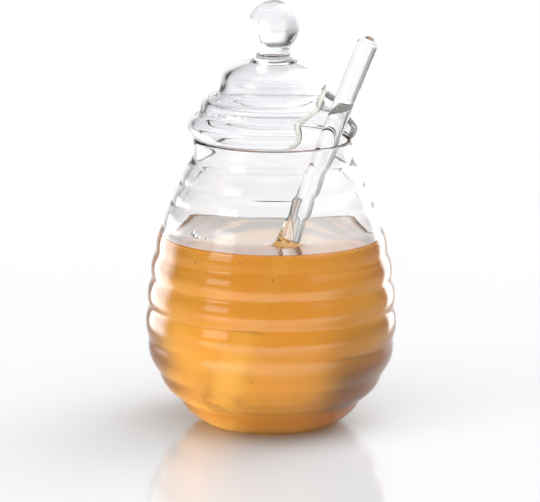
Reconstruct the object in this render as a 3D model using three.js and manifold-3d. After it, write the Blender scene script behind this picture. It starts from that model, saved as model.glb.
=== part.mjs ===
// Ribbed glass honey pot: a beehive jar filled with honey, a domed lid with a
// ball knob and a notch, and a glass dipper that leans in the notch.
// Millimetres, +Z up. The origin is on the pot's axis, on the surface it stands on.
import * as THREE from 'three';
import { mergeVertices } from 'three/addons/utils/BufferGeometryUtils.js';
import Module from 'manifold-3d';

const wasm = await Module();
wasm.setup();

// Driving dimensions
const ROUND_SIDES = 36;          // sides of every round of the jar, honey and lid
const GAP = 0.3;                 // clearance between pieces that touch

const JAR_HEIGHT = 103.0;
const JAR_WALL = 1.8;
const JAR_BASE_THICKNESS = 3.2;
const FOOT_RADIUS = 22.0;
const RIM_OUTER_RADIUS = 28.1;
const RIM_INNER_RADIUS = 26.4;
const RIM_HEIGHT = 8.5;          // straight collar above the top rib
const INNER_RIB_SHARE = 0.7;     // the ribs are softer inside than outside

const HONEY_LEVEL = 67.7;

const LID_WALL = 2.0;
const LID_RADIUS = 30.2;
const LID_BASE_Z = JAR_HEIGHT + GAP;
const CROWN_INNER_Z = 128.6;
const KNOB_RADIUS = 9.1;
const KNOB_NECK_RADIUS = 5.9;
const KNOB_CENTRE_Z = 143.1;

const NOTCH_BEARING = 53;        // degrees from the front (-Y) towards the right (+X)
const NOTCH_LEFT = 16.0;          // from the bearing to the notch's left side
const NOTCH_RIGHT = 12.6;
const NOTCH_APEX = 6.5;
const NOTCH_SPRING = 3.0;        // height of the straight sides above the hem
const NOTCH_BELOW = 4.0;         // the cut starts this far under the hem
const NOTCH_INNER_RADIUS = 12.0; // and this far from the axis
const NOTCH_DEPTH = 24.0;
const NOTCH_TOP_Z = 119.4;

const ROD_RADIUS = 3.5;
const ROD_TIP_RADIUS = 3.8;
const ROD_SIDES = 16;
const DIPPER_AT_RIM = new THREE.Vector3(19.3, -11.4, 103);
const DIPPER_AT_HONEY = new THREE.Vector3(5.95, -15.5, 69);
const DIPPER_TIP_Z = 140.6;
const DIPPER_END_Z = 13.0;
const HEAD_RIDGES = 6;
const HEAD_RIDGE_PITCH = 4.4;
const HEAD_RADIUS = 7.4;
const HEAD_GROOVE_SHARE = 0.66;  // groove radius as a share of the ridge's

// Hollows between the jar's ribs, lowest first, and how far each rib above one swells
const RIB_HOLLOWS = [
  { r: 33.4, z: 9.8, swell: 1.3 },
  { r: 40.5, z: 19.2, swell: 1.5 },
  { r: 43.8, z: 31.0, swell: 1.25 },
  { r: 43.7, z: 42.4, swell: 1.15 },
  { r: 42.7, z: 52.4, swell: 1.05 },
  { r: 41.3, z: 62.0, swell: 0.8 },
  { r: 38.9, z: 71.6, swell: 0.8 },
  { r: 35.5, z: 80.4, swell: 0.7 },
  { r: 32.4, z: 87.2, swell: 0.6 },
  { r: 29.3, z: 94.4, swell: 0 },
];

const point = (r, z) => new THREE.Vector2(r, z);

// Points of the arc from a to b that swells to the right of the way from a to b.
// The first point is left out.
function arc(a, b, swell, steps) {
  const points = [];
  const along = b.clone().sub(a);
  const out = point(along.y, -along.x).normalize();
  for (let i = 1; i <= steps; i += 1) {
    const t = i / steps;
    const rise = 4 * swell * t * (1 - t);
    points.push(a.clone().addScaledVector(along, t).addScaledVector(out, rise));
  }
  return points;
}

// The profile moved sideways by distance, to the left of its direction of travel.
function offsetProfile(points, distance) {
  return points.map((p, i) => {
    const before = points[Math.max(i - 1, 0)];
    const after = points[Math.min(i + 1, points.length - 1)];
    const along = after.clone().sub(before).normalize();
    return p.clone().addScaledVector(point(-along.y, along.x), distance);
  });
}

// Closed mesh to solid: only positions, shared vertices, no collapsed triangles.
function toSolid(geometry) {
  const bare = geometry.clone();
  bare.deleteAttribute('normal');
  bare.deleteAttribute('uv');
  const merged = mergeVertices(bare, 1e-4);
  const index = Array.from(merged.index.array);
  const kept = [];
  for (let i = 0; i < index.length; i += 3) {
    const [a, b, c] = index.slice(i, i + 3);
    if (a !== b && b !== c && c !== a) kept.push(a, b, c);
  }
  return new wasm.Manifold(new wasm.Mesh({
    numProp: 3,
    vertProperties: new Float32Array(merged.attributes.position.array),
    triVerts: new Uint32Array(kept),
  }));
}

function toGeometry(solid) {
  const mesh = solid.getMesh();
  const geometry = new THREE.BufferGeometry();
  geometry.setAttribute('position', new THREE.BufferAttribute(new Float32Array(mesh.vertProperties), 3));
  geometry.setIndex(new THREE.BufferAttribute(new Uint32Array(mesh.triVerts), 1));
  geometry.computeVertexNormals();
  return geometry;
}

// A round body about +Z from a profile that starts and ends on the axis.
function turned(profile, sides) {
  const geometry = new THREE.LatheGeometry(profile, sides);
  geometry.rotateX(Math.PI / 2);
  return geometry;
}

// Outer side of the ribbed wall, from the foot to the collar
function outerRibs(steps) {
  const foot = point(FOOT_RADIUS, 0);
  const heel = point(FOOT_RADIUS + 3.6, 1.6);
  const first = RIB_HOLLOWS[0];
  const profile = [foot, heel, ...arc(heel, point(first.r, first.z), 0.9, steps)];
  RIB_HOLLOWS.slice(0, -1).forEach((hollow, i) => {
    const next = RIB_HOLLOWS[i + 1];
    profile.push(...arc(point(hollow.r, hollow.z), point(next.r, next.z), hollow.swell, steps));
  });
  return profile;
}

// Inner side of the wall, from the middle of the base up to the collar
function innerRibs(steps) {
  const hollows = offsetProfile(RIB_HOLLOWS.map(({ r, z }) => point(r, z)), JAR_WALL + 0.1);
  const floorEdge = point(FOOT_RADIUS - 1, JAR_BASE_THICKNESS);
  const profile = [floorEdge, ...arc(floorEdge, hollows[0], 1.6, steps)];
  hollows.slice(0, -1).forEach((hollow, i) => {
    const swell = RIB_HOLLOWS[i].swell * INNER_RIB_SHARE;
    profile.push(...arc(hollow, hollows[i + 1], swell, steps));
  });
  return profile;
}

function jarProfile() {
  const rimMiddle = (RIM_OUTER_RADIUS + RIM_INNER_RADIUS) / 2;
  const collar = [
    point(RIM_OUTER_RADIUS + 0.25, JAR_HEIGHT - RIM_HEIGHT + 2.4),
    point(RIM_OUTER_RADIUS, JAR_HEIGHT - 1.2),
    point(RIM_OUTER_RADIUS - 0.25, JAR_HEIGHT - 0.25),
    point(rimMiddle, JAR_HEIGHT),
    point(RIM_INNER_RADIUS + 0.25, JAR_HEIGHT - 0.25),
    point(RIM_INNER_RADIUS, JAR_HEIGHT - 1.2),
    point(RIM_INNER_RADIUS + 0.2, JAR_HEIGHT - RIM_HEIGHT + 2.6),
  ];
  return [
    point(0, 0),
    ...outerRibs(4),
    ...collar,
    ...innerRibs(3).reverse(),
    point(0, JAR_BASE_THICKNESS),
  ];
}

// The honey's side lies a gap inside the jar's wall, up to the level.
function honeyProfile() {
  const side = offsetProfile(innerRibs(3), GAP + 0.05);
  side[0].set(FOOT_RADIUS - 1.2, JAR_BASE_THICKNESS + GAP);
  const above = side.findIndex((p) => p.y > HONEY_LEVEL);
  const low = side[above - 1];
  const high = side[above];
  const share = (HONEY_LEVEL - low.y) / (high.y - low.y);
  const brim = low.clone().lerp(high, share);
  return [point(0, JAR_BASE_THICKNESS + GAP), ...side.slice(0, above), brim, point(0, HONEY_LEVEL)];
}

// Outer side of the lid, from the hem up to the knob's neck: a rolled flange, a
// middle step and a domed crown, with a hollow between each two
function lidOuter() {
  return [
    point(LID_RADIUS - 1.4, LID_BASE_Z + 0.7),
    point(LID_RADIUS - 0.5, LID_BASE_Z + 2.0),
    point(LID_RADIUS, LID_BASE_Z + 3.7),
    point(LID_RADIUS - 0.2, LID_BASE_Z + 5.2),
    point(LID_RADIUS - 1.1, LID_BASE_Z + 6.6),
    point(LID_RADIUS - 2.7, LID_BASE_Z + 7.8),
    point(LID_RADIUS - 4.1, LID_BASE_Z + 8.8),
    point(25.6, 114.0),
    point(25.3, 115.8),
    point(24.2, 117.3),
    point(22.0, 118.3),
    point(19.6, 119.4),
    point(18.8, 121.2),
    point(18.7, 123.4),
    point(18.1, 125.7),
    point(16.8, 127.5),
    point(14.5, 129.0),
    point(11.6, 130.1),
    point(8.4, 130.9),
  ];
}

// The knob: a short neck and a ball, from the crown to the top on the axis
function knobProfile() {
  const neck = [
    point(6.7, 131.7),
    point(KNOB_NECK_RADIUS, 133.0),
    point(KNOB_NECK_RADIUS, 135.2),
  ];
  const start = Math.asin((KNOB_NECK_RADIUS + 0.4) / KNOB_RADIUS);
  const steps = 10;
  const ball = [];
  for (let i = 0; i <= steps; i += 1) {
    const angle = start + (Math.PI - start) * (i / steps);
    const r = i === steps ? 0 : KNOB_RADIUS * Math.sin(angle);
    ball.push(point(r, KNOB_CENTRE_Z - KNOB_RADIUS * Math.cos(angle)));
  }
  return [...neck, ...ball];
}

// Inner side of the lid, from the axis under the knob down to the hem
function lidInner() {
  const outer = lidOuter();
  const wall = offsetProfile(outer.slice(1, -1), LID_WALL).reverse();
  return [point(0, CROWN_INNER_Z), ...wall, point(LID_RADIUS - 3.2, LID_BASE_Z + 0.4)];
}

function lidSolid() {
  const hem = point(LID_RADIUS - 2.6, LID_BASE_Z);
  // The profile runs from the ball's top down the outside, round the hem and up the inside
  const outside = [...lidOuter(), ...knobProfile()];
  const profile = [...lidInner(), hem, ...outside];
  return toSolid(turned(profile, ROUND_SIDES));
}

// An arch that runs out through the lid's side at the notch's bearing. Its apex
// lies towards the right, over the leaning rod, so the left haunch is the longer one.
function notchCutter() {
  const rise = NOTCH_TOP_Z - LID_BASE_Z;
  const arch = new THREE.Shape();
  arch.moveTo(-NOTCH_LEFT, -NOTCH_BELOW);
  arch.lineTo(-NOTCH_LEFT, NOTCH_SPRING);
  arch.bezierCurveTo(
    -NOTCH_LEFT, NOTCH_SPRING + 0.4 * rise,
    -0.25 * NOTCH_LEFT, 0.74 * rise,
    NOTCH_APEX, rise,
  );
  arch.bezierCurveTo(
    0.9 * NOTCH_RIGHT, rise + 0.6,
    NOTCH_RIGHT, 0.85 * rise,
    NOTCH_RIGHT, NOTCH_SPRING,
  );
  arch.lineTo(NOTCH_RIGHT, -NOTCH_BELOW);
  const geometry = new THREE.ExtrudeGeometry(arch, {
    depth: NOTCH_DEPTH,
    curveSegments: 9,
    bevelEnabled: false,
  });
  // The shape's x is across the notch and its y is up; it is extruded outwards, to the front
  geometry.rotateX(Math.PI / 2);
  geometry.translate(0, -NOTCH_INNER_RADIUS, LID_BASE_Z);
  geometry.rotateZ(THREE.MathUtils.degToRad(NOTCH_BEARING));
  return toSolid(geometry);
}

// Where the dipper's axis is at a height
function dipperAxisAt(z) {
  const share = (z - DIPPER_AT_HONEY.z) / (DIPPER_AT_RIM.z - DIPPER_AT_HONEY.z);
  return DIPPER_AT_HONEY.clone().lerp(DIPPER_AT_RIM, share);
}

// Profile of the dipper about its own axis, from the lower end to the tip.
// spare widens it all round, and smooth leaves the ridges out.
function dipperProfile(length, spare, smooth) {
  const headLength = HEAD_RIDGES * HEAD_RIDGE_PITCH;
  const profile = [point(0, -spare)];
  for (let i = 0; i < HEAD_RIDGES; i += 1) {
    const share = (i + 0.5) / HEAD_RIDGES;
    const ridge = HEAD_RADIUS * (0.62 + 0.38 * Math.sin(Math.PI * (0.12 + 0.76 * share)));
    const base = i * HEAD_RIDGE_PITCH;
    if (smooth) {
      profile.push(point(ridge + spare, base + (i === 0 ? -spare : 0.6)));
      profile.push(point(ridge + spare, base + 2.9));
    } else {
      profile.push(point(ridge - 0.9, base + (i === 0 ? 0 : 0.5)));
      profile.push(point(ridge, base + 1.2));
      profile.push(point(ridge, base + 2.2));
      profile.push(point(ridge - 0.9, base + 3.0));
      profile.push(point(ridge * HEAD_GROOVE_SHARE, base + 3.7));
    }
  }
  profile.push(point(ROD_RADIUS + spare, headLength + 3 + spare));
  profile.push(point(ROD_RADIUS + spare, length * 0.6));
  const tipBase = length - ROD_TIP_RADIUS;
  const steps = 5;
  for (let i = 0; i <= steps; i += 1) {
    const angle = (Math.PI / 2) * (i / steps);
    const r = i === steps ? 0 : (ROD_TIP_RADIUS + spare) * Math.cos(angle);
    profile.push(point(r, tipBase + (ROD_TIP_RADIUS + spare) * Math.sin(angle)));
  }
  return profile;
}

function dipperSolid(spare, smooth, sides) {
  const end = dipperAxisAt(DIPPER_END_Z);
  const tip = dipperAxisAt(DIPPER_TIP_Z);
  const direction = tip.clone().sub(end);
  const geometry = turned(dipperProfile(direction.length(), spare, smooth), sides);
  const turn = new THREE.Quaternion().setFromUnitVectors(
    new THREE.Vector3(0, 0, 1),
    direction.clone().normalize(),
  );
  geometry.applyQuaternion(turn);
  geometry.translate(end.x, end.y, end.z);
  return toSolid(geometry);
}

function glass(colour) {
  return new THREE.MeshStandardMaterial({
    color: colour,
    roughness: 0.03,
    metalness: 0,
    transparent: true,
    opacity: 0.35,
  });
}

function named(name, solid, material) {
  const mesh = new THREE.Mesh(toGeometry(solid), material);
  mesh.name = name;
  return mesh;
}

const jar = toSolid(turned(jarProfile(), ROUND_SIDES));
const lid = lidSolid().subtract(notchCutter());
const dipper = dipperSolid(0, false, ROD_SIDES);
const honeyBody = toSolid(turned(honeyProfile(), ROUND_SIDES));
const honey = honeyBody.subtract(dipperSolid(GAP, true, ROD_SIDES));

const honeyMaterial = new THREE.MeshStandardMaterial({ color: 0xd98e2b, roughness: 0.12, metalness: 0 });

const pot = new THREE.Group();
pot.add(
  named('jar', jar, glass(0xe9edee)),
  named('honey', honey, honeyMaterial),
  named('lid', lid, glass(0xe6eaec)),
  named('dipper', dipper, glass(0xdfe6e8)),
);

export default pot;
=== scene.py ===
"""Looks of a ribbed glass honey pot: the beehive jar, its honey, the notched lid and the dipper.

Every outline is given in millimetres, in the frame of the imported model: +Z up, the pot's axis at
the origin and the foot on the surface it stands on.
"""

import logging
import math
import random
from dataclasses import dataclass, field
from enum import Enum

import bmesh
import bpy
from mathutils import Matrix, Vector


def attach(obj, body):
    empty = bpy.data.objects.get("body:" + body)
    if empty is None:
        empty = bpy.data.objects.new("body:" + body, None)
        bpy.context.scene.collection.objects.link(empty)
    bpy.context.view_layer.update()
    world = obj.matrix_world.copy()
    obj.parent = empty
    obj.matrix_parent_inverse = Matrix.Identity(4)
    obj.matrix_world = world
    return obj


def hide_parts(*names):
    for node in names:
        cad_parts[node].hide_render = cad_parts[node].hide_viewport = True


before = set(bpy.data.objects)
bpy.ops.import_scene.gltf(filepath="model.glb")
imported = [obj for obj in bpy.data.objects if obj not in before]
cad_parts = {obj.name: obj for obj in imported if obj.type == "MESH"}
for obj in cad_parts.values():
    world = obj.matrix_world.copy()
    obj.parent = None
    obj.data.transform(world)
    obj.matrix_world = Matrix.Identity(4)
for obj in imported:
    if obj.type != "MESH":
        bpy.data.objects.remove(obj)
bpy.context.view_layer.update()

logging.basicConfig(level=logging.INFO, format="%(name)s: %(message)s")
LOG = logging.getLogger("honey_pot")

MM = 0.001
BODY = "root"
FULL_TURN = 2 * math.pi
# Corners closer than this are made one
WELD = 0.0005 * MM
WHITE = "#FFFFFF"
# Specular tint of a surface that turns no light back head on
NO_SHINE = (0, 0, 0, 1)

Point = tuple[float, float]
Profile = list[Point]


# Colour and node helpers


def linear(hex_code: str) -> tuple[float, float, float, float]:
    """Turns an sRGB hex colour into linear RGBA.

    Args:
        hex_code: six hex digits, with or without a leading hash.

    Returns:
        The linear colour with alpha 1.
    """
    digits = hex_code.lstrip("#")
    channels = [int(digits[i : i + 2], 16) / 255 for i in (0, 2, 4)]
    red, green, blue = (
        c / 12.92 if c <= 0.04045 else ((c + 0.055) / 1.055) ** 2.4 for c in channels
    )
    return (red, green, blue, 1.0)


def add_node(
    tree: bpy.types.NodeTree,
    kind: str,
    settings: dict[str, object] | None = None,
    inputs: dict[str | int, object] | None = None,
    links: dict[str | int, bpy.types.NodeSocket] | None = None,
) -> bpy.types.Node:
    """Adds one node with its settings, its sockets' values and its incoming links.

    Args:
        tree: the node tree that gets the node.
        kind: the node's type name after "ShaderNode".
        settings: attributes of the node.
        inputs: values of input sockets, by name or index.
        links: output sockets to link in, by the name or index of the input.

    Returns:
        The new node.
    """
    node = tree.nodes.new("ShaderNode" + kind)
    for name, value in (settings or {}).items():
        setattr(node, name, value)
    for key, value in (inputs or {}).items():
        node.inputs[key].default_value = value
    for key, socket in (links or {}).items():
        tree.links.new(socket, node.inputs[key])
    return node


def fade_out(
    tree: bpy.types.NodeTree,
    value: bpy.types.NodeSocket,
    middle: float,
    start: float,
    end: float,
) -> bpy.types.NodeSocket:
    """Gives 1 round a middle value and fades softly to 0 on both sides of it.

    Args:
        tree: the node tree that gets the nodes.
        value: what is compared with the middle.
        middle: the middle value.
        start: how far from the middle the fade starts.
        end: how far from the middle it ends.

    Returns:
        The faded share.
    """
    away = add_node(tree, "Math", {"operation": "SUBTRACT"}, {1: middle}, {0: value})
    size = add_node(tree, "Math", {"operation": "ABSOLUTE"}, links={0: away.outputs[0]})
    fade = add_node(
        tree,
        "MapRange",
        {"interpolation_type": "SMOOTHSTEP"},
        {1: start, 2: end, 3: 1.0, 4: 0.0},
        {0: size.outputs[0]},
    )
    return fade.outputs[0]


def principled(name: str, values: dict[str, object]) -> bpy.types.Material:
    """Starts a material, with what is the same all over set on its shader's own sockets.

    Args:
        name: the material's name.
        values: values of the shader's sockets, by name.

    Returns:
        The material.
    """
    material = bpy.data.materials.new(name)
    material.use_nodes = True
    shader = material.node_tree.nodes["Principled BSDF"]
    for socket, value in values.items():
        shader.inputs[socket].default_value = value
    return material


# Outline helpers


def swell_arc(start: Point, end: Point, swell: float, steps: int) -> Profile:
    """Points of a shallow arc from start to end, without the start.

    Args:
        start: the first end of the chord.
        end: the other end of the chord.
        swell: how far the arc's middle stands off the chord, to the right of its direction.
        steps: how many points to give.

    Returns:
        The points after the start, the end included.
    """
    (r0, z0), (r1, z1) = start, end
    length = math.hypot(r1 - r0, z1 - z0)
    out_r, out_z = (z1 - z0) / length, -(r1 - r0) / length
    points = []
    for i in range(1, steps + 1):
        t = i / steps
        rise = 4 * swell * t * (1 - t)
        points.append((r0 + (r1 - r0) * t + out_r * rise, z0 + (z1 - z0) * t + out_z * rise))
    return points


def offset(points: Profile, distance: float) -> Profile:
    """Moves an outline sideways, to the left of its direction of travel.

    Args:
        points: the outline.
        distance: how far it moves.

    Returns:
        The moved outline, with as many points.
    """
    moved = []
    last = len(points) - 1
    for i, (r, z) in enumerate(points):
        (ra, za), (rb, zb) = points[max(i - 1, 0)], points[min(i + 1, last)]
        length = math.hypot(rb - ra, zb - za)
        moved.append((r - (zb - za) / length * distance, z + (rb - ra) / length * distance))
    return moved


def soften(points: Profile, passes: int) -> Profile:
    """Rounds an outline's creases by moving each point towards its neighbours' middle.

    Args:
        points: the outline; its two ends stay.
        passes: how often it is done.

    Returns:
        The rounded outline.
    """
    for _ in range(passes):
        inner = [
            tuple(0.25 * a + 0.5 * b + 0.25 * c for a, b, c in zip(*three))
            for three in zip(points, points[1:], points[2:])
        ]
        points = [points[0], *inner, points[-1]]
    return points


def curve_through(points: Profile, steps: int) -> Profile:
    """Draws a smooth curve through a few points.

    Args:
        points: the points it passes through, in order.
        steps: how many pieces each span is drawn in.

    Returns:
        The curve's points, both ends included.
    """
    padded = [points[0], *points, points[-1]]
    curve = [points[0]]
    for p0, p1, p2, p3 in zip(padded, padded[1:], padded[2:], padded[3:]):
        for i in range(1, steps + 1):
            t = i / steps
            curve.append(
                tuple(
                    0.5
                    * (
                        2 * b
                        + (c - a) * t
                        + (2 * a - 5 * b + 4 * c - d) * t**2
                        + (3 * b - a - 3 * c + d) * t**3
                    )
                    for a, b, c, d in zip(p0, p1, p2, p3)
                )
            )
    return curve


def evenly(points: Profile, spacing: float) -> Profile:
    """Spreads points evenly along an outline.

    Args:
        points: the outline.
        spacing: the wished distance between points.

    Returns:
        Points at equal distances, both ends included.
    """
    lengths = [math.dist(a, b) for a, b in zip(points, points[1:])]
    total = sum(lengths)
    count = max(1, round(total / spacing))
    spread = [points[0]]
    walked, i = 0.0, 0
    for step in range(1, count):
        goal = total * step / count
        while walked + lengths[i] < goal:
            walked += lengths[i]
            i += 1
        share = (goal - walked) / lengths[i]
        (r0, z0), (r1, z1) = points[i], points[i + 1]
        spread.append((r0 + (r1 - r0) * share, z0 + (z1 - z0) * share))
    return [*spread, points[-1]]


def blend(rows: Profile, at: float) -> Point:
    """Reads a place between the rows of an outline.

    Args:
        rows: the outline.
        at: the row, with its fraction.

    Returns:
        The place there.
    """
    i = min(max(int(at), 0), len(rows) - 2)
    return tuple(a + (b - a) * (at - i) for a, b in zip(rows[i], rows[i + 1]))


def blend_many(rows: tuple[tuple[float, ...], ...], at: float) -> list[float]:
    """Reads between the rows of a table, easing from each row to the next.

    Args:
        rows: the table.
        at: the row, with its fraction.

    Returns:
        The numbers there.
    """
    i = min(int(at), len(rows) - 2)
    share = at - i
    share = share * share * (3 - 2 * share)
    return [a + (b - a) * share for a, b in zip(rows[i], rows[i + 1])]


def in_space(place: Point, turn: float) -> Vector:
    """Puts an outline's place at a turn about the Z axis."""
    return Vector((place[0] * math.cos(turn), place[0] * math.sin(turn), place[1]))


# Mesh helpers


def spun(profile: Profile, steps: int) -> bmesh.types.BMesh:
    """Turns an outline round the Z axis into a closed shell.

    A quarter is spun and mirrored twice, so the shell is alike on all four sides.

    Args:
        profile: the outline in millimetres; it starts and ends on the axis.
        steps: how many sides the round gets, a multiple of four.

    Returns:
        The shell in metres, with its poles merged and its faces pointing out.
    """
    mesh = bmesh.new()
    corners = [mesh.verts.new((r * MM, 0, z * MM)) for r, z in profile]
    lines = [mesh.edges.new(pair) for pair in zip(corners, corners[1:])]
    bmesh.ops.spin(
        mesh,
        geom=[*corners, *lines],
        cent=(0, 0, 0),
        axis=(0, 0, 1),
        angle=FULL_TURN / 4,
        steps=steps // 4,
    )
    for axis in "XY":
        bmesh.ops.mirror(
            mesh,
            geom=[*mesh.verts, *mesh.edges, *mesh.faces],
            matrix=Matrix.Identity(4),
            merge_dist=WELD,
            axis=axis,
        )
    bmesh.ops.remove_doubles(mesh, verts=mesh.verts, dist=WELD)
    bmesh.ops.recalc_face_normals(mesh, faces=mesh.faces)
    return mesh


def to_object(
    name: str, mesh: bmesh.types.BMesh, materials: list[bpy.types.Material]
) -> bpy.types.Object:
    """Makes a smooth-shaded object in the scene from a bmesh, and frees the bmesh.

    Args:
        name: the object's name.
        mesh: the shape, in metres, in its place.
        materials: the object's material slots, in order.

    Returns:
        The object, at the origin.
    """
    data = bpy.data.meshes.new(name)
    mesh.to_mesh(data)
    mesh.free()
    data.shade_smooth()
    for material in materials:
        data.materials.append(material)
    piece = bpy.data.objects.new(name, data)
    bpy.context.scene.collection.objects.link(piece)
    return piece


def tube(path: list[Vector], radii: list[float], sides: int) -> bmesh.types.BMesh:
    """Draws a round thread of changing thickness along a path, closed at both ends.

    Args:
        path: the thread's middle, in millimetres.
        radii: its radius at each point of the path.
        sides: how many sides it gets.

    Returns:
        The thread in metres.
    """
    mesh = bmesh.new()
    heading = Vector((0, 0, 1))
    turn = Matrix.Identity(3)
    loops = []
    last = len(path) - 1
    for i, (place, radius) in enumerate(zip(path, radii)):
        along = (path[min(i + 1, last)] - path[max(i - 1, 0)]).normalized()
        turn = heading.rotation_difference(along).to_matrix() @ turn
        heading = along
        ring = bmesh.ops.create_circle(
            mesh,
            cap_ends=i in (0, last),
            radius=radius * MM,
            segments=sides,
            matrix=Matrix.Translation(place * MM) @ turn.to_4x4(),
        )["verts"]
        loops.append({edge for corner in ring for edge in corner.link_edges})
    for low, high in zip(loops, loops[1:]):
        bmesh.ops.bridge_loops(mesh, edges=[*low, *high])
    bmesh.ops.recalc_face_normals(mesh, faces=mesh.faces)
    return mesh


class Join(Enum):
    """How one closed shape is worked into another."""

    TAKE_AWAY = "DIFFERENCE"
    ADD = "UNION"


def work_in(piece: bpy.types.Object, tool_mesh: bmesh.types.BMesh, how: Join) -> None:
    """Adds one closed shape to another, or takes it out, for good.

    Args:
        piece: the shape that is worked on.
        tool_mesh: the shape that is added or taken out; it is used up.
        how: whether it is added or taken out.
    """
    tool = to_object("tool", tool_mesh, list(piece.data.materials))
    modifier = piece.modifiers.new("join", "BOOLEAN")
    modifier.operation = how.value
    modifier.solver = "MANIFOLD"
    modifier.object = tool
    graph = bpy.context.evaluated_depsgraph_get()
    result = bpy.data.meshes.new_from_object(piece.evaluated_get(graph))
    piece.modifiers.clear()
    piece.data = result
    bpy.data.objects.remove(tool)


def hand_over(piece: bpy.types.Object, slot: str, *nodes: str) -> None:
    """Lets a piece ride on the pot, and hides the model's nodes that it stands for.

    Args:
        piece: the finished piece.
        slot: not used.
        nodes: the model's nodes that it replaces.
    """
    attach(piece, BODY)
    if nodes:
        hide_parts(*nodes)
    LOG.info("%s: %d faces", piece.name, len(piece.data.polygons))


# Finishes


@dataclass(frozen=True)
class GlassFinish:
    """Clear borosilicate glass, blown or drawn, with faint waves left by the forming.

    The waves are a finger's width apart and bend what lies behind the wall, so lines seen through
    it look soft and alive.
    """

    name: str
    ior: float = 1.472
    tint: str = WHITE
    roughness: float = 0.0
    wave_pitch_mm: float = 14.0
    wave_height_mm: float = 0.02
    wave_detail: float = 1.0
    wave_fineness: float = 0.4
    wetted: bool = False
    clearness: float = 1.0

    def material(self) -> bpy.types.Material:
        """Builds the material. Wetted glass turns no light back where honey lies on it.

        Returns:
            The material.
        """
        values = {
            "Base Color": linear(self.tint),
            "Roughness": self.roughness,
            "IOR": self.ior,
            "Transmission Weight": self.clearness,
        }
        if self.wetted:
            values["Specular Tint"] = NO_SHINE
        material = principled(self.name, values)
        tree = material.node_tree
        place = add_node(tree, "TexCoord")
        waves = add_node(
            tree,
            "TexNoise",
            inputs={
                "Scale": 1 / (self.wave_pitch_mm * MM),
                "Detail": self.wave_detail,
                "Roughness": self.wave_fineness,
            },
            links={"Vector": place.outputs["Object"]},
        )
        bump = add_node(
            tree,
            "Bump",
            inputs={"Strength": 1.0, "Distance": self.wave_height_mm * MM},
            links={"Height": waves.outputs["Fac"]},
        )
        tree.links.new(bump.outputs["Normal"], tree.nodes["Principled BSDF"].inputs["Normal"])
        return material


@dataclass(frozen=True)
class HoneyFinish:
    """Runny honey, a little cloudy: its depth gives the amber, its cloud evens it out.

    Blue is absorbed first and green after it, so thin honey is yellow and deep honey amber.
    """

    name: str = "runny_honey_poured"
    ior: float = 1.49
    tint: str = WHITE
    clearness: float = 1.0
    cloud: float = 0.28
    absorbed: str = "#F9D800"
    density: float = 44.0
    # heights between which the cloudy side turns into the glossy open top
    shine_from: float = 67.2
    shine_to: float = 67.5
    # distances from the dipper's axis, and past its end, between which the cloud sets in
    clear_within: float = 8.6
    cloud_beyond: float = 9.6
    end_clear_within: float = 0.6
    end_cloud_beyond: float = 1.6

    def away_from_dipper(
        self, tree: bpy.types.NodeTree, place: bpy.types.NodeSocket, dipper: "Dipper"
    ) -> bpy.types.NodeSocket:
        """Tells how far a place is from the dipper's head, which stays clear to see.

        Args:
            tree: the material's node tree.
            place: the place on the honey's skin.
            dipper: the dipper.

        Returns:
            0 beside the dipper and 1 away from it or past its end.
        """
        from_rod = add_node(
            tree, "VectorMath", {"operation": "SUBTRACT"}, {1: dipper.at_honey * MM}, {0: place}
        )
        aside, along = (
            add_node(
                tree,
                "VectorMath",
                {"operation": operation},
                {1: dipper.direction},
                {0: from_rod.outputs["Vector"]},
            )
            for operation in ("CROSS_PRODUCT", "DOT_PRODUCT")
        )
        distance = add_node(
            tree, "VectorMath", {"operation": "LENGTH"}, links={0: aside.outputs["Vector"]}
        )
        beside = add_node(
            tree,
            "MapRange",
            inputs={1: self.clear_within * MM, 2: self.cloud_beyond * MM},
            links={0: distance.outputs["Value"]},
        )
        end = -(dipper.at_honey - dipper.at_height(dipper.end_height)).length
        past_end = add_node(
            tree,
            "MapRange",
            inputs={1: (end - self.end_clear_within) * MM, 2: (end - self.end_cloud_beyond) * MM},
            links={0: along.outputs["Value"]},
        )
        away = add_node(
            tree,
            "Math",
            {"operation": "MAXIMUM"},
            links={0: beside.outputs[0], 1: past_end.outputs[0]},
        )
        return away.outputs[0]

    def material(self, dipper: "Dipper") -> bpy.types.Material:
        """Builds the material, with the absorption set on the volume's own sockets.

        Args:
            dipper: the dipper, round which the honey's skin has no cloud.

        Returns:
            The material.
        """
        material = principled(
            self.name,
            {
                "Base Color": linear(self.tint),
                "IOR": self.ior,
                "Transmission Weight": self.clearness,
                "Specular Tint": NO_SHINE,
                "Coat Roughness": 0.0,
            },
        )
        tree = material.node_tree
        shader = tree.nodes["Principled BSDF"]
        # The open top shines like glass; the sides, behind the jar's wall, have the cloud instead
        place = add_node(tree, "TexCoord").outputs["Object"]
        split = add_node(tree, "SeparateXYZ", links={"Vector": place})
        top = add_node(
            tree,
            "MapRange",
            inputs={1: self.shine_from * MM, 2: self.shine_to * MM},
            links={0: split.outputs["Z"]},
        )
        tree.links.new(top.outputs[0], shader.inputs["Coat Weight"])
        side = add_node(
            tree, "MapRange", inputs={3: self.cloud, 4: 0.0}, links={0: top.outputs[0]}
        )
        cloud = add_node(
            tree,
            "Math",
            {"operation": "MULTIPLY"},
            links={0: self.away_from_dipper(tree, place, dipper), 1: side.outputs[0]},
        )
        tree.links.new(cloud.outputs[0], shader.inputs["Roughness"])
        depth = add_node(
            tree,
            "VolumeAbsorption",
            inputs={"Color": linear(self.absorbed), "Density": self.density},
        )
        tree.links.new(depth.outputs["Volume"], tree.nodes["Material Output"].inputs["Volume"])
        return material


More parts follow.
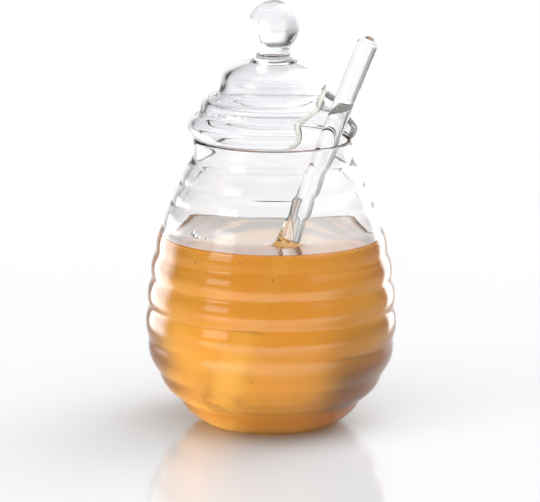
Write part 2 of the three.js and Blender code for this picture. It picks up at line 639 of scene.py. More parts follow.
@dataclass(frozen=True)
class AirFinish:
    """Air caught in the honey: each bubble mirrors and bends the light as a small round window."""

    name: str = "air_in_honey"
    ior: float = 0.69

    def material(self) -> bpy.types.Material:
        """Builds the material; its IOR is air's against the honey's.

        Returns:
            The material.
        """
        return principled(
            self.name,
            {
                "Base Color": linear(WHITE),
                "Roughness": 0.0,
                "IOR": self.ior,
                "Transmission Weight": 1.0,
            },
        )


# The pot's pieces


@dataclass(frozen=True)
class RibHollow:
    """The hollow under one rib, and how far the rib above it swells, in millimetres."""

    radius: float
    height: float
    swell: float


@dataclass
class Jar:
    """The mould-blown beehive jar, its wall ribbed outside and more softly inside."""

    height: float = 103.0
    wall: float = 1.8
    base_thickness: float = 3.2
    foot_radius: float = 22.0
    rim_outer: float = 28.1
    rim_inner: float = 26.4
    collar: float = 8.5
    inner_rib_share: float = 0.7
    # the heel, from the foot's edge: how far out, how high and how full
    heel_out: float = 3.6
    heel_height: float = 1.6
    heel_swell: float = 0.35
    outer_foot_swell: float = 0.9
    inner_foot_swell: float = 1.6
    floor_inset: float = 1.0
    hollow_thickening: float = 0.1
    # the fire-polished rim's rounding and depth, and the collar's flare: out, and up from its foot
    rim_round: float = 0.25
    rim_depth: float = 1.2
    outer_flare: Point = (0.25, 2.4)
    inner_flare: Point = (0.2, 2.6)
    outer_softening: int = 2
    inner_softening: int = 4
    heel_steps: int = 6
    rib_steps: int = 14
    rim_steps: int = 5
    floor_rings: int = 12
    sides: int = 224
    hollows: tuple[RibHollow, ...] = (
        RibHollow(33.4, 9.8, 1.3),
        RibHollow(40.5, 19.2, 1.5),
        RibHollow(43.8, 31.0, 1.25),
        RibHollow(43.7, 42.4, 1.15),
        RibHollow(42.7, 52.4, 1.05),
        RibHollow(41.3, 62.0, 0.8),
        RibHollow(38.9, 71.6, 0.8),
        RibHollow(35.5, 80.4, 0.7),
        RibHollow(32.4, 87.2, 0.6),
        RibHollow(29.3, 94.4, 0.0),
    )

    def ribs(self, start: Profile, hollows: Profile, share: float, foot_swell: float) -> Profile:
        """Draws a ribbed side from the foot to the collar.

        Args:
            start: the outline's points before the lowest rib.
            hollows: the places of the hollows.
            share: how much of each rib's swell this side has.
            foot_swell: the swell of the curve from the foot to the lowest hollow.

        Returns:
            The side's outline.
        """
        side = [*start, *swell_arc(start[-1], hollows[0], foot_swell, self.rib_steps)]
        for hollow, low, high in zip(self.hollows, hollows, hollows[1:]):
            side += swell_arc(low, high, hollow.swell * share, self.rib_steps)
        return side

    def outer(self) -> Profile:
        """Outline of the outside, from the foot's edge to the collar.

        Returns:
            The outline.
        """
        hollows = [(h.radius, h.height) for h in self.hollows]
        edge = (self.foot_radius, 0.0)
        heel = (self.foot_radius + self.heel_out, self.heel_height)
        start = [edge, *swell_arc(edge, heel, self.heel_swell, self.heel_steps)]
        side = self.ribs(start, hollows, 1.0, self.outer_foot_swell)
        return soften(side, self.outer_softening)

    def inner(self) -> Profile:
        """Outline of the inside, from the floor's edge to the collar.

        Returns:
            The outline.
        """
        outer = [(h.radius, h.height) for h in self.hollows]
        hollows = offset(outer, self.wall + self.hollow_thickening)
        edge = (self.foot_radius - self.floor_inset, self.base_thickness)
        side = self.ribs([edge], hollows, self.inner_rib_share, self.inner_foot_swell)
        return soften(side, self.inner_softening)

    def rim(self) -> Profile:
        """Outline of the collar and the fire-polished rim, from outside to inside.

        Returns:
            The outline.
        """
        middle = (self.rim_outer + self.rim_inner) / 2
        foot = self.height - self.collar
        (out, out_up), (inward, in_up) = self.outer_flare, self.inner_flare
        return [
            (self.rim_outer + out, foot + out_up),
            (self.rim_outer, self.height - self.rim_depth),
            (self.rim_outer - self.rim_round, self.height - self.rim_round),
            (middle, self.height),
            (self.rim_inner + self.rim_round, self.height - self.rim_round),
            (self.rim_inner, self.height - self.rim_depth),
            (self.rim_inner + inward, foot + in_up),
        ]

    def profile(self) -> Profile:
        """Closed outline of the glass, from the axis under the base to the axis on the floor.

        Returns:
            The outline.
        """
        outer, inner, rings = self.outer(), self.inner(), self.floor_rings
        rim = curve_through([outer[-1], *self.rim(), inner[-1]], self.rim_steps)
        floor = [(self.foot_radius * i / rings, 0.0) for i in range(rings)]
        upper = [(inner[0][0] * i / rings, self.base_thickness) for i in range(rings)]
        return [*floor, *outer, *rim[1:-1], *reversed(inner), *reversed(upper)]

    def build(
        self, dry: bpy.types.Material, wet: bpy.types.Material, wet_up_to: float
    ) -> bpy.types.Object:
        """Blows the jar, and marks the inside that honey covers.

        Args:
            dry: the clear glass.
            wet: the same glass where honey lies on it.
            wet_up_to: the height that the honey reaches on the wall.

        Returns:
            The jar.
        """
        mesh = spun(self.profile(), self.sides)
        for face in mesh.faces:
            middle = face.calc_center_median()
            faces_axis = face.normal.x * middle.x + face.normal.y * middle.y < 0
            on_floor = face.normal.z > 0.9 and middle.z > 0.5 * self.base_thickness * MM
            if (faces_axis or on_floor) and middle.z < wet_up_to * MM:
                face.material_index = 1
        return to_object("jar_blown", mesh, [dry, wet])


@dataclass
class Dipper:
    """The glass dipper: a drawn rod with a rounded tip and a ridged head."""

    rod_radius: float = 3.5
    tip_radius: float = 3.8
    at_rim: Vector = field(default_factory=lambda: Vector((19.3, -11.4, 103.0)))
    at_honey: Vector = field(default_factory=lambda: Vector((5.95, -15.5, 69.0)))
    tip_height: float = 140.6
    end_height: float = 13.0
    ridges: int = 6
    ridge_pitch: float = 4.4
    head_radius: float = 7.4
    groove_share: float = 0.66
    groove_at: float = 3.7
    # one ridge: how far in from its crest, and how far along from its start
    ridge_shape: tuple[Point, ...] = ((-0.9, 0.5), (0.0, 1.2), (0.0, 2.2), (-0.9, 3.0))
    first_ridge_start: float = 0.2
    # the head's barrel shape: the ends' share of its radius, the middle's gain and the sine's part
    barrel_end: float = 0.62
    barrel_gain: float = 0.38
    barrel_from: float = 0.12
    barrel_span: float = 0.76
    # from the head into the rod: how much wider than the rod, and how far along
    neck: tuple[Point, ...] = ((0.4, 1.2), (0.0, 3.0))
    # the rod is even up to one share of the length and a trace thicker at the other
    even_to: float = 0.45
    thicker_at: float = 0.6
    thickening: float = 0.05
    tip_length: float = 12.0
    tip_step: int = 15
    curve_steps: int = 8
    spacing: float = 0.5
    sides: int = 56

    def at_height(self, height: float) -> Vector:
        """Where the rod's axis is at a height."""
        share = (height - self.at_honey.z) / (self.at_rim.z - self.at_honey.z)
        return self.at_honey.lerp(self.at_rim, share)

    @property
    def direction(self) -> Vector:
        """Unit vector along the rod, from the head to the tip."""
        return (self.at_rim - self.at_honey).normalized()

    @property
    def length(self) -> float:
        """Length from the head's end to the tip."""
        return (self.at_height(self.tip_height) - self.at_height(self.end_height)).length

    def profile(self, spare: float) -> Profile:
        """Outline about the dipper's own axis, from the head's end to the tip.

        Args:
            spare: how much wider than the glass the outline is, all round.

        Returns:
            The closed outline.
        """
        points: Profile = [(0.0, 0.0)]
        for i in range(self.ridges):
            share = (i + 0.5) / self.ridges
            bulge = math.sin(math.pi * (self.barrel_from + self.barrel_span * share))
            ridge = self.head_radius * (self.barrel_end + self.barrel_gain * bulge)
            base = i * self.ridge_pitch
            points += [(ridge + inward, base + along) for inward, along in self.ridge_shape]
            points.append((ridge * self.groove_share, base + self.groove_at))
        points[1] = (points[1][0], self.first_ridge_start)
        head = self.ridges * self.ridge_pitch
        bend = self.length - self.tip_radius
        points += [(self.rod_radius + wider, head + along) for wider, along in self.neck]
        points += [
            (self.rod_radius, self.length * self.even_to),
            (self.rod_radius + self.thickening, self.length * self.thicker_at),
            (self.tip_radius - self.thickening, bend - self.tip_length),
        ]
        for angle in map(math.radians, range(0, 90, self.tip_step)):
            out, up = self.tip_radius * math.cos(angle), self.tip_radius * math.sin(angle)
            points.append((out, bend + up))
        points.append((0.0, self.length))
        smooth = evenly(curve_through(points, self.curve_steps), self.spacing)
        wide = offset(smooth, -spare) if spare else smooth
        return [(0.0, wide[0][1]), *wide[1:-1], (0.0, wide[-1][1])]

    def shell(self, spare: float) -> bmesh.types.BMesh:
        """The dipper's skin in its place in the pot, widened by spare.

        Args:
            spare: how much wider than the glass the skin is, all round.

        Returns:
            The closed skin, in metres.
        """
        mesh = spun(self.profile(spare), self.sides)
        turn = Vector((0, 0, 1)).rotation_difference(self.direction).to_matrix().to_4x4()
        place = Matrix.Translation(self.at_height(self.end_height) * MM) @ turn
        bmesh.ops.transform(mesh, matrix=place, verts=mesh.verts)
        return mesh

    def build(
        self, dry: bpy.types.Material, wet: bpy.types.Material, level: float
    ) -> bpy.types.Object:
        """Draws the dipper, and marks what is sunk in the honey.

        Args:
            dry: the clear glass.
            wet: the same glass where honey lies on it.
            level: the honey's level.

        Returns:
            The dipper.
        """
        mesh = self.shell(0.0)
        for face in mesh.faces:
            if face.calc_center_median().z < level * MM:
                face.material_index = 1
        return to_object("dipper_drawn", mesh, [dry, wet])


@dataclass
class Honey:
    """The honey: it fills the jar to its level, wets the wall and creeps up the rod."""

    level: float = 67.7
    # how far it reaches into the glass, so no air shows between the two
    bite: float = 0.06
    wall_climb: float = 0.6
    wall_creep: float = 0.7
    rod_climb: float = 1.8
    rod_creep: float = 1.5
    sides: int = 224
    floor_rings: int = 12
    # what counts as the top starts this far under the level; its rings crowd towards the wall
    below_top: float = 0.05
    top_rings: int = 72
    top_crowding: float = 1.5
    thread_sides: int = 20
    thread_steps: int = 5
    # how far a bubble's middle is off the wall, as a share of its radius
    bubble_inset: float = 0.15
    # bubbles strewn by chance: how many, from what height to how far under the level, their radii
    stray_bubbles: int = 22
    stray_from: float = 12.0
    stray_below_level: float = 4.0
    stray_radii: Point = (0.16, 0.3)
    stray_seed: int = 7
    # turn to the right of the front, height and radius
    seen_bubbles: tuple[tuple[float, float, float], ...] = (
        (-41.5, 63.9, 0.42),
        (-15.8, 65.6, 0.4),
        (0.7, 59.9, 0.4),
        (50.5, 67.2, 0.5),
        (-9.0, 24.0, 0.3),
        (24.0, 12.5, 0.35),
    )
    # x, y, lift over the level and radius
    foam: tuple[tuple[float, float, float, float], ...] = (
        (-14.5, -6.5, 0.05, 0.45),
        (-26.0, -1.5, 0.0, 0.8),
        (-24.6, -2.6, 0.05, 0.55),
        (-23.0, -3.4, 0.0, 0.7),
        (-21.6, -4.2, 0.05, 0.45),
        (-27.4, 4.0, 0.0, 0.8),
        (-28.3, 8.0, 0.05, 0.6),
    )
    # each run's height, turn to the left of the front, radius and stand off the rod
    runs: tuple[tuple[tuple[float, float, float, float], ...], ...] = (
        (
            (89.5, 84.0, 0.2, -0.3),
            (87.0, 82.0, 0.5, 0.0),
            (83.0, 78.0, 0.62, 0.05),
            (79.0, 74.0, 0.66, 0.05),
            (75.0, 72.0, 0.72, 0.0),
            (72.0, 72.0, 0.95, 0.05),
            (69.6, 72.0, 1.4, 0.1),
            (67.2, 72.0, 1.5, 0.1),
        ),
        (
            (80.0, 66.0, 0.22, -0.1),
            (78.0, 52.0, 0.42, 0.0),
            (75.5, 28.0, 0.45, 0.0),
            (73.0, 6.0, 0.5, 0.0),
            (70.3, -12.0, 0.62, 0.0),
            (67.4, -22.0, 0.9, 0.0),
        ),
    )
    # the ring of honey round the rod's foot: its height and tilt, thickness and stand off the rod
    ring_height: float = 68.3
    ring_tilt: float = 0.25
    ring_radius: float = 1.1
    ring_stand: float = 0.7
    ring_turns: range = range(-172, 173, 24)

    def side(self, jar: Jar) -> Profile:
        """Outline of the honey's side, just inside the glass of the wall.

        Args:
            jar: the jar that holds it.

        Returns:
            The outline, up to where the honey wets the wall.
        """
        reach = offset(jar.inner(), -self.bite)
        top = self.level + self.wall_climb
        side = [p for p in reach if p[1] < top]
        low, high = side[-1], reach[len(side)]
        share = (top - low[1]) / (high[1] - low[1])
        side.append((low[0] + (high[0] - low[0]) * share, top))
        return side

    def profile(self, jar: Jar) -> Profile:
        """Closed outline, from the axis on the jar's floor to the axis at the level.

        Args:
            jar: the jar that holds it.

        Returns:
            The outline.
        """
        side = self.side(jar)
        floor_z = jar.base_thickness - self.bite
        floor = [(side[0][0] * i / self.floor_rings, floor_z) for i in range(self.floor_rings)]
        brim = side[-1][0]
        top = []
        for i in range(1, self.top_rings + 1):
            radius = brim * (1 - (i / self.top_rings) ** self.top_crowding)
            climb = self.wall_climb * math.exp(-(brim - radius) / self.wall_creep)
            top.append((radius, self.level + climb))
        return [*floor, *side, *top]

    def build(self, jar: Jar, dipper: Dipper, material: bpy.types.Material) -> bpy.types.Object:
        """Pours the honey round the dipper.

        Args:
            jar: the jar that holds it.
            dipper: the dipper that stands in it.
            material: the honey's finish.

        Returns:
            The honey.
        """
        mesh = spun(self.profile(jar), self.sides)
        stem = dipper.at_height(self.level)
        lean = dipper.direction
        for corner in mesh.verts:
            if corner.co.z < (self.level - self.below_top) * MM:
                continue
            away = corner.co / MM - stem
            distance = (away - lean * away.dot(lean)).length - dipper.rod_radius
            rise = self.rod_climb * math.exp(-max(distance, 0.0) / self.rod_creep)
            corner.co.z += rise * MM
        piece = to_object("honey_poured", mesh, [material])
        for thread in self.film(dipper):
            work_in(piece, thread, Join.ADD)
        work_in(piece, dipper.shell(-self.bite), Join.TAKE_AWAY)
        return piece

    def film(self, dipper: Dipper) -> list[bmesh.types.BMesh]:
        """Threads of honey that still run down the rod, and the bead round its foot.

        Args:
            dipper: the dipper that they cling to.

        Returns:
            The closed threads; each reaches into the rod.
        """
        ring = tuple(
            (
                self.ring_height + self.ring_tilt * math.sin(math.radians(turn)),
                float(turn),
                self.ring_radius,
                self.ring_stand,
            )
            for turn in self.ring_turns
        )
        threads = []
        for run in (*self.runs, ring):
            places, radii = [], []
            steps = self.thread_steps * (len(run) - 1)
            for i in range(steps + 1):
                height, turn, radius, stand = blend_many(run, i / self.thread_steps)
                around = math.radians(turn)
                out = Vector((-math.sin(around), -math.cos(around), 0))
                places.append(dipper.at_height(height) + out * (dipper.rod_radius + stand))
                radii.append(radius)
            threads.append(tube(places, radii, self.thread_sides))
        return threads

    def bubbles(self, jar: Jar, air: bpy.types.Material) -> bpy.types.Object:
        """Small air bubbles caught against the wall, and a little foam on the honey's left.

        Args:
            jar: the jar whose wall they touch.
            air: the bubbles' finish.

        Returns:
            The bubbles.
        """
        chance = random.Random(self.stray_seed)
        side = self.side(jar)
        spots = [(x, y, self.level + lift, radius) for x, y, lift, radius in self.foam]
        walls = list(self.seen_bubbles)
        for _ in range(self.stray_bubbles):
            turn = chance.uniform(0, 360)
            height = chance.uniform(self.stray_from, self.level - self.stray_below_level)
            walls.append((turn, height, chance.uniform(*self.stray_radii)))
        for turn, height, size in walls:
            around = math.radians(turn)
            wall = min(side, key=lambda p: abs(p[1] - height))[0]
            radius = wall - self.bubble_inset * size
            spots.append((radius * math.sin(around), -radius * math.cos(around), height, size))
        mesh = bmesh.new()
        for x, y, z, radius in spots:
            bmesh.ops.create_icosphere(
                mesh,
                subdivisions=2,
                radius=radius * MM,
                matrix=Matrix.Translation(Vector((x, y, z)) * MM),
            )
        return to_object("honey_bubbles", mesh, [air])


@dataclass
class Lid:
    """The blown lid: rolled flange, middle step, domed crown, ball knob and an arched notch."""

    wall: float = 2.0
    base: float = 103.3
    knob_radius: float = 9.1
    neck_radius: float = 5.9
    knob_centre: float = 143.1
    crown_inner: float = 128.6
    bearing: float = math.radians(-37)
    notch_left: float = 16.0
    notch_right: float = 12.6
    notch_apex: float = 6.5
    notch_spring: float = 3.0
    notch_rise: float = 16.1
    cut_start: float = 12.0
    cut_depth: float = 24.0
    # the rolled edge: its radius, the share of it that is left at the ends, and how fast it swells
    bead: float = 1.16
    bead_end: float = 0.72
    bead_swell: float = 3.2
    bead_sides: int = 20
    bead_stride: int = 3
    # how far over the hem the cutter's arch starts, and how far under the lid the cutter reaches
    cut_over_hem: float = 0.15
    cut_below: float = 4.0
    arch_spacing: float = 0.25
    arch_curve_steps: int = 8
    arch_softening: int = 8
    inner_softening: int = 24
    ball_seat: float = 0.4
    ball_steps: int = 36
    neck_steps: int = 5
    crown_steps: int = 10
    hem_steps: int = 8
    steps: int = 4
    sides: int = 400

    def wall_points(self) -> Profile:
        """Points on the outside, from the hem to the crown.

        Returns:
            The points.
        """
        return [
            (28.5, 103.7),
            (29.5, 105.1),
            (30.15, 106.9),
            (30.0, 108.5),
            (29.1, 109.9),
            (27.5, 111.1),
            (26.1, 112.1),
            (25.6, 114.0),
            (25.3, 115.8),
            (24.2, 117.3),
            (22.0, 118.3),
            (19.6, 119.4),
            (18.8, 121.2),
            (18.7, 123.4),
            (18.1, 125.7),
            (16.8, 127.5),
            (14.5, 129.0),
            (11.6, 130.1),
            (8.4, 130.9),
        ]

    def knob(self) -> Profile:
        """Outline of the neck and the ball, from the crown to the top on the axis.

        Returns:
            The outline.
        """
        radius, steps = self.neck_radius, self.neck_steps
        neck = [(8.4, 130.9), (7.0, 131.5), (6.2, 132.4), (radius, 133.6), (radius, 135.2)]
        start = math.asin((radius + self.ball_seat) / self.knob_radius)
        ball = []
        for i in range(self.ball_steps + 1):
            angle = start + (math.pi - start) * i / self.ball_steps
            out = 0.0 if i == self.ball_steps else self.knob_radius * math.sin(angle)
            ball.append((out, self.knob_centre - self.knob_radius * math.cos(angle)))
        # Drawn on from the crown and into the ball, then cut back to the neck's own stretch
        drawn = curve_through([self.wall_points()[-2], *neck, ball[0], ball[2]], steps)
        return [*drawn[steps : -steps - 1], *ball]

    def arch(self) -> Profile:
        """Centre line of the notch's rolled edge: across the notch, and up from the hem.

        Returns:
            The centre line, laid flat.
        """
        left, right = self.notch_left, self.notch_right
        spring, rise = self.notch_spring, self.notch_rise
        opening = [
            (-left - 5.5, 0.0),
            (-left - 3.2, 0.0),
            (-left - 0.8, 0.8),
            (-left, spring),
            (-left + 1.2, spring + 3.2),
            (-left + 5.2, spring + 6.4),
            (-left + 11.3, spring + 9.1),
            (-left + 17.9, spring + 11.3),
            (self.notch_apex - 2.0, rise - 0.8),
            (self.notch_apex + 1.8, rise + 0.05),
            (right - 1.9, rise - 1.5),
            (right - 0.6, rise - 4.6),
            (right - 0.1, rise - 8.8),
            (right, spring),
            (right + 0.8, 0.8),
            (right + 3.2, 0.0),
            (right + 5.5, 0.0),
        ]
        middle = offset(curve_through(opening, self.arch_curve_steps), 0.5 * self.wall)
        return soften(evenly(middle, self.arch_spacing), self.arch_softening)

    def edge(self, middle: Profile) -> list[Vector]:
        """Centre line of the notch's rolled edge, in the lid's wall.

        Args:
            middle: the wall's middle, row by row from the hem.

        Returns:
            The centre line, from hem to hem.
        """
        places = []
        for across, height in self.arch():
            row = max(1, next(i for i, (_, z) in enumerate(middle) if z > self.base + height))
            (_, low), (_, high) = middle[row - 1], middle[row]
            at = row - 1 + (self.base + height - low) / (high - low)
            radius = blend(middle, max(0.0, at))[0]
            turn = self.bearing + math.asin(across / radius)
            places.append(in_space((radius, self.base + height), turn))
        return places

    def cutter(self) -> bmesh.types.BMesh:
        """The notch's opening, drawn out through the lid's side.

        Returns:
            The closed shape that is taken out, in metres.
        """
        across = Vector((-math.sin(self.bearing), math.cos(self.bearing), 0))
        out = Vector((math.cos(self.bearing), math.sin(self.bearing), 0))
        start = out * self.cut_start
        arch = [p for p in self.arch() if p[1] > 0.5 * self.wall + self.cut_over_hem]
        outline = [(arch[0][0], -self.cut_below), *arch, (arch[-1][0], -self.cut_below)]
        mesh = bmesh.new()
        places = [start + across * x + Vector((0, 0, self.base + z)) for x, z in outline]
        face = mesh.faces.new([mesh.verts.new(place * MM) for place in places])
        drawn = bmesh.ops.extrude_face_region(mesh, geom=[face])["geom"]
        moved = [part for part in drawn if isinstance(part, bmesh.types.BMVert)]
        bmesh.ops.translate(mesh, verts=moved, vec=out * self.cut_depth * MM)
        bmesh.ops.recalc_face_normals(mesh, faces=mesh.faces)
        return mesh

    def hem(self, middle: Point, outer: Point) -> Profile:
        """Outline of the hem's half round, from the inside to the outside.

        Args:
            middle: the wall's middle at the hem.
            outer: the wall's outside there.

        Returns:
            The points between the two sides.
        """
        (mid_r, mid_z), (out_r, out_z) = middle, outer
        half_r, half_z = out_r - mid_r, out_z - mid_z
        hem = []
        for i in range(1, self.hem_steps):
            turn = math.pi * (i / self.hem_steps - 0.5)
            sine, cosine = math.sin(turn), math.cos(turn)
            hem.append(
                (mid_r + half_r * sine + half_z * cosine, mid_z + half_z * sine - half_r * cosine)
            )
        return hem

    def build(
        self, glass: bpy.types.Material, edge_glass: bpy.types.Material
    ) -> bpy.types.Object:
        """Blows the lid, cuts the notch and rolls its edge round.

        Args:
            glass: the lid's finish.
            edge_glass: the finish of the notch's rolled edge.

        Returns:
            The lid.
        """
        points = self.wall_points()
        outer = curve_through(points, self.steps)
        inner = curve_through(offset(points, self.wall), self.steps)
        inner = soften(inner, self.inner_softening)
        middle = [((a + c) / 2, (b + d) / 2) for (a, b), (c, d) in zip(outer, inner)]
        edge_r, edge_z = inner[-1]
        crown = []
        for share in (i / self.crown_steps for i in range(self.crown_steps)):
            drop = (edge_z - self.crown_inner) * share * share
            crown.append((edge_r * share, self.crown_inner + drop))
        hem = self.hem(middle[0], outer[0])
        mesh = spun([*crown, *reversed(inner), *hem, *outer, *self.knob()[1:]], self.sides)
        piece = to_object("lid_blown", mesh, [glass, edge_glass])
        work_in(piece, self.cutter(), Join.TAKE_AWAY)
        edge = self.edge(middle)[:: self.bead_stride]
        count = len(edge)
        radii = []
        for i in range(count):
            swell = self.bead_end + self.bead_swell * min(i, count - 1 - i) / count
            radii.append(self.bead * min(1.0, swell))
        bead = tube(edge, radii, self.bead_sides)
        for face in bead.faces:
            face.material_index = 1
        work_in(piece, bead, Join.ADD)
        return piece


@dataclass(frozen=True)
class Patch:
    """A soft-edged patch of the studio's far walls, in degrees; azimuth 0 lies behind the pot."""

    azimuth: float
    elevation: float
    half_width: float
    half_height: float
    softness: float
    level: float


@dataclass(frozen=True)
class Card:
    """A flat lamp close beside the pot, soft along its edges; sizes in millimetres."""

    name: str
    centre: tuple[float, float, float]
    size: tuple[float, float]
    strength: float
    faces: tuple[float, float, float]
    seen_through_glass: bool
    soft: float = 0.25


@dataclass
class Studio:
    """The glossy white floor, the soft walls of light, the side lamps and the camera."""

    camera_place: tuple[float, float, float] = (0.0, -1200.0, 314.6)
    camera_aim: tuple[float, float, float] = (-0.6, 0.0, 61.9)
    camera_roll: float = math.radians(0.5)
    focal_px: float = 3430.0
    frame_width_px: float = 540.0
    sensor_mm: float = 36.0
    far_m: float = 100.0
    floor_size: float = 12000.0
    floor_white: str = "#F0F0F2"
    floor_roughness: float = 0.12
    floor_ior: float = 1.38
    # a ray may pass every wall of the jar, the honey, the lid and the dipper
    bounces: int = 28
    glossy_bounces: int = 8
    diffuse_bounces: int = 4
    room_level: float = 0.45
    # painted in this order: a later patch covers the ones before it
    patches: tuple[Patch, ...] = (
        Patch(0.0, 90.0, 400.0, 44.0, 10.0, 1.85),
        Patch(0.0, 48.0, 75.0, 32.0, 10.0, 0.35),
        Patch(52.0, 52.0, 32.0, 26.0, 10.0, 2.7),
        Patch(-50.0, 50.0, 34.0, 29.0, 8.0, 0.22),
        Patch(-78.0, 36.0, 18.0, 24.0, 6.0, 0.12),
        Patch(-3.0, 9.0, 16.0, 12.0, 5.0, 0.95),
        Patch(26.0, 8.0, 20.0, 13.0, 5.0, 1.5),
        Patch(0.0, 12.0, 9.0, 7.0, 4.0, 1.1),
        Patch(-41.0, 31.0, 15.0, 23.0, 5.0, 0.02),
        Patch(25.0, 24.0, 1.2, 16.0, 0.8, 0.2),
        Patch(-127.0, 15.0, 12.0, 9.0, 3.0, 3.5),
    )
    cards: tuple[Card, ...] = (
        Card("left_card", (-112.0, 54.0, 50.0), (124.0, 96.0), 5.4, (0.0, 54.0, 50.0), False),
        Card("right_card", (112.0, 100.0, 50.0), (110.0, 96.0), 4.0, (0.0, 100.0, 50.0), False),
        Card(
            "right_upper_card", (118.0, 0.0, 165.0), (420.0, 160.0), 1.1, (0.0, 0.0, 165.0), True
        ),
        Card("front_card", (0.0, -190.0, 3.0), (700.0, 256.0), 1.7, (0.0, -190.0, 500.0), True),
    )

    def card(self, card: Card, unlit: bpy.types.Collection) -> None:
        """Stands one lamp in its place; it only shines on the pot and shows only as a highlight.

        Args:
            card: the lamp.
            unlit: what it doesn't shine on.
        """
        width, height = card.size
        mesh = bmesh.new()
        mesh.loops.layers.uv.new("across")
        bmesh.ops.create_grid(mesh, x_segments=1, y_segments=1, size=0.5, calc_uvs=True)
        toward = Vector(card.faces) - Vector(card.centre)
        turn = toward.to_track_quat("Z", "Y").to_matrix().to_4x4()
        scale = Matrix.Diagonal((width * MM, height * MM, 1.0, 1.0))
        stand = Matrix.Translation(Vector(card.centre) * MM) @ turn @ scale
        bmesh.ops.transform(mesh, matrix=stand, verts=mesh.verts)
        material = bpy.data.materials.new(card.name)
        material.use_nodes = True
        tree = material.node_tree
        tree.nodes.clear()
        # It glows on its front only, most in its middle, and is otherwise clear
        side = add_node(tree, "NewGeometry")
        across = add_node(tree, "UVMap", {"uv_map": "across"})
        split = add_node(tree, "SeparateXYZ", links={"Vector": across.outputs["UV"]})
        share = add_node(
            tree, "Math", {"operation": "SUBTRACT"}, {0: 1.0}, {1: side.outputs["Backfacing"]}
        )
        for axis in "XY":
            fade = fade_out(tree, split.outputs[axis], 0.5, 0.5 - card.soft, 0.5)
            share = add_node(
                tree, "Math", {"operation": "MULTIPLY"}, links={0: share.outputs[0], 1: fade}
            )
        strength = add_node(
            tree, "Math", {"operation": "MULTIPLY"}, {1: card.strength}, {0: share.outputs[0]}
        )
        clear = add_node(tree, "BsdfTransparent")
        glow = add_node(tree, "Emission", links={"Strength": strength.outputs[0]})
        shown = add_node(
            tree, "AddShader", links={0: clear.outputs["BSDF"], 1: glow.outputs["Emission"]}
        )
        add_node(tree, "OutputMaterial", links={"Surface": shown.outputs["Shader"]})
        piece = to_object(card.name, mesh, [material])
        piece.visible_camera = False
        piece.visible_diffuse = False
        piece.visible_transmission = card.seen_through_glass
        piece.light_linking.receiver_collection = unlit

    def floor(self) -> bpy.types.Collection:
        """Lays the floor: a polished white acrylic sheet, which mirrors the pot's foot softly.

        Returns:
            A collection that leaves the floor out of the lamps' light.
        """
        mesh = bmesh.new()
        bmesh.ops.create_grid(mesh, x_segments=1, y_segments=1, size=0.5 * self.floor_size * MM)
        material = principled(
            "white_acrylic_sheet_polished",
            {
                "Base Color": linear(self.floor_white),
                "Roughness": self.floor_roughness,
                "IOR": self.floor_ior,
            },
        )
        piece = to_object("floor", mesh, [material])
        unlit = bpy.data.collections.new("unlit_by_cards")
        unlit.objects.link(piece)
        unlit.collection_objects[0].light_linking.link_state = "EXCLUDE"
        return unlit

    def world(self) -> None:
        """Surrounds the pot with soft walls of light, lighter and darker by direction."""
        world = bpy.data.worlds.new("studio")
        bpy.context.scene.world = world
        world.use_nodes = True
        tree = world.node_tree
        view = add_node(tree, "TexCoord")
        split = add_node(tree, "SeparateXYZ", links={"Vector": view.outputs["Generated"]})
        turn = add_node(
            tree,
            "Math",
            {"operation": "ARCTAN2"},
            links={0: split.outputs["X"], 1: split.outputs["Y"]},
        )
        rise = add_node(tree, "Math", {"operation": "ARCSINE"}, links={0: split.outputs["Z"]})
        azimuth, elevation = (
            add_node(
                tree, "Math", {"operation": "DEGREES"}, links={0: angle.outputs[0]}
            ).outputs[0]
            for angle in (turn, rise)
        )
        room = add_node(tree, "Value")
        room.outputs[0].default_value = self.room_level
        light = room.outputs[0]
        for patch in self.patches:
            across, up = (
                fade_out(tree, angle, middle, half - patch.softness, half + patch.softness)
                for angle, middle, half in (
                    (azimuth, patch.azimuth, patch.half_width),
                    (elevation, patch.elevation, patch.half_height),
                )
            )
            both = add_node(tree, "Math", {"operation": "MULTIPLY"}, links={0: across, 1: up})
            mixed = add_node(
                tree, "Mix", inputs={3: patch.level}, links={0: both.outputs[0], 2: light}
            )
            light = mixed.outputs[0]
        background = tree.nodes["Background"]
        background.inputs["Color"].default_value = linear(WHITE)
        tree.links.new(light, background.inputs["Strength"])

    def camera(self) -> None:
        """Sets the camera at the photograph's angle."""
        data = bpy.data.cameras.new("camera")
        data.sensor_fit = "HORIZONTAL"
        data.sensor_width = self.sensor_mm
        data.lens = self.focal_px / self.frame_width_px * self.sensor_mm
        data.clip_end = self.far_m
        camera = bpy.data.objects.new("camera", data)
        place = Vector(self.camera_place) * MM
        aim = Vector(self.camera_aim) * MM
        look = (aim - place).to_track_quat("-Z", "Y").to_matrix().to_4x4()
        roll = Matrix.Rotation(self.camera_roll, 4, "Z")
        camera.matrix_world = Matrix.Translation(place) @ look @ roll
        bpy.context.scene.collection.objects.link(camera)
        bpy.context.scene.camera = camera

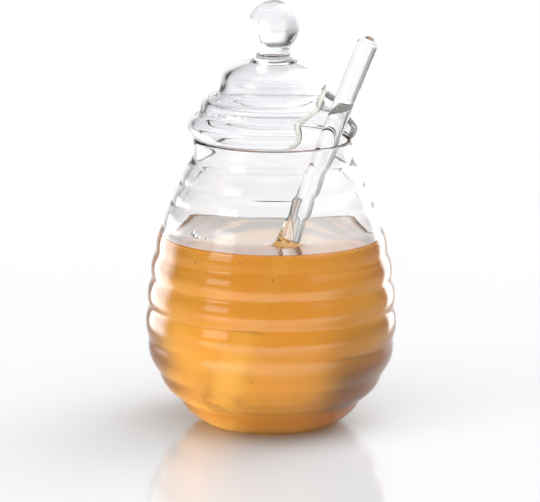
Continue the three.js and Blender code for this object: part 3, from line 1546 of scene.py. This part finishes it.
    def render_look(self) -> None:
        """Lets light pass as many glass walls as the pot has, and keeps colours plain."""
        scene = bpy.context.scene
        scene.view_settings.view_transform = "Standard"
        scene.cycles.max_bounces = self.bounces
        scene.cycles.transmission_bounces = self.bounces
        scene.cycles.glossy_bounces = self.glossy_bounces
        scene.cycles.diffuse_bounces = self.diffuse_bounces

    def build(self) -> None:
        """Builds the whole studio."""
        self.world()
        unlit = self.floor()
        for card in self.cards:
            self.card(card, unlit)
        self.camera()
        self.render_look()


def main() -> None:
    """Builds the pot's pieces and the studio, and logs each piece."""
    jar, dipper, honey, lid = Jar(), Dipper(), Honey(), Lid()
    # Blown against a mould: clear, with slow waves that make the ribs' lines waver
    jar_glass = GlassFinish("borosilicate_glass_mould_blown").material()
    # The same wall where honey wets it: without a shine of its own it lets the honey touch it
    jar_glass_wet = GlassFinish("borosilicate_glass_honey_side", wetted=True).material()
    # Blown in its own mould: a trace grey, so its steps and crown draw as fine dark lines
    lid_glass = GlassFinish("borosilicate_glass_lid_blown", tint="#FAFAFC").material()
    # A cut edge melted round in the flame: a little cloudy and olive, it shows as a pale thread
    lid_edge = GlassFinish(
        "borosilicate_glass_fire_polished", tint="#F5F6EC", clearness=0.6
    ).material()
    # Drawn out of a gather: even and clear, a lens along its whole length
    rod_glass = GlassFinish("borosilicate_glass_rod_drawn").material()
    # Sunk in honey it bends light almost as the honey does, so only its ridges can be made out
    rod_glass_wet = GlassFinish(
        "borosilicate_glass_rod_sunk", ior=1.482, tint="#FFFFFA", wetted=True
    ).material()
    honey_amber = HoneyFinish().material(dipper)

    on_wall, on_rod = honey.level + honey.wall_climb, honey.level + honey.rod_climb
    hand_over(jar.build(jar_glass, jar_glass_wet, on_wall), "jar_glass", "jar")
    hand_over(honey.build(jar, dipper, honey_amber), "honey", "honey")
    hand_over(honey.bubbles(jar, AirFinish().material()), "honey")
    hand_over(lid.build(lid_glass, lid_edge), "lid_glass", "lid")
    hand_over(dipper.build(rod_glass, rod_glass_wet, on_rod), "dipper_glass", "dipper")
    Studio().build()


if __name__ == "__main__":
    main()
